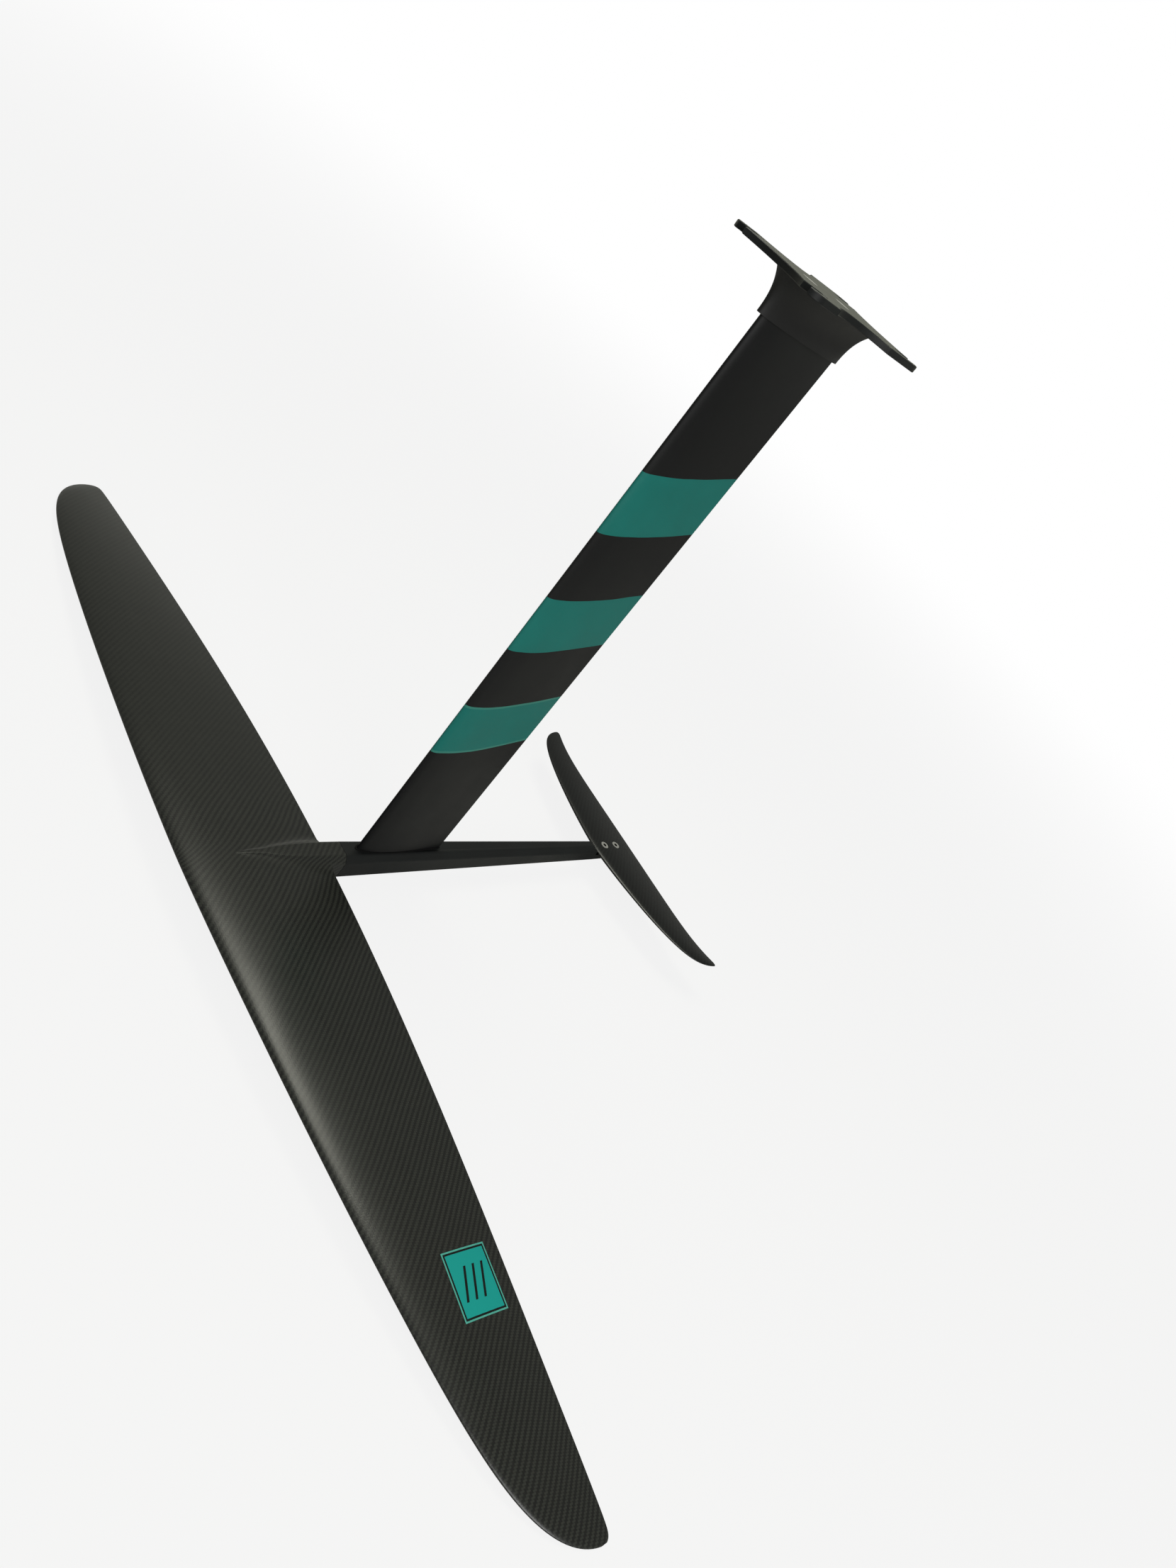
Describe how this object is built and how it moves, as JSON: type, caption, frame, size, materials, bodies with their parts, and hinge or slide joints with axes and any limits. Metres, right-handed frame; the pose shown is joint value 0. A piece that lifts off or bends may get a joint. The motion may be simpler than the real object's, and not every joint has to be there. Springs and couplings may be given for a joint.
{
  "type": "hydrofoil",
  "caption": "Water-sports hydrofoil: slotted board plate and flared collar on a foil-shaped mast, slim fuselage, wide drooping front wing and small rear stabiliser.",
  "frame": {"origin": "centre of the board plate's top face, the face that lies against the board", "axes": "+Z out of the plate towards the board, -Y forwards in the direction of travel, +X along the span to one wing tip"},
  "size_m": [1.4002, 0.7209, 0.7975],
  "materials": {
    "laminate": "satin twill-weave carbon laminate",
    "mast_laminate": "satin black laminate with three teal bands",
    "coated_alloy": "matte black anodised",
    "collar_moulding": "satin black moulding",
    "foam": "structural foam",
    "solid_laminate": "solid laminate block",
    "bare_alloy": "machined",
    "stainless": "satin stainless",
    "gasket": "matte"
  },
  "bodies": {
    "root": {"base_plate": "coated_alloy", "base_plate_screws": "stainless", "mast_collar": "collar_moulding", "mast_collar_inserts": "stainless", "mast_skin": "mast_laminate", "mast_core": "foam", "mast_webs": "solid_laminate", "mast_head_block": "solid_laminate", "mast_foot_block": "bare_alloy", "mast_foot_inserts": "stainless", "mast_foot_screws": "stainless", "mast_foot_gasket": "gasket", "fuselage_shell": "coated_alloy", "fuselage_core": "foam", "front_wing_skin": "laminate", "front_wing_core": "foam", "front_wing_screws": "stainless", "front_wing_inserts": "stainless", "stabiliser_skin": "laminate", "stabiliser_core": "foam", "stabiliser_screws": "stainless", "stabiliser_inserts": "stainless"}
  },
  "joints": []
}
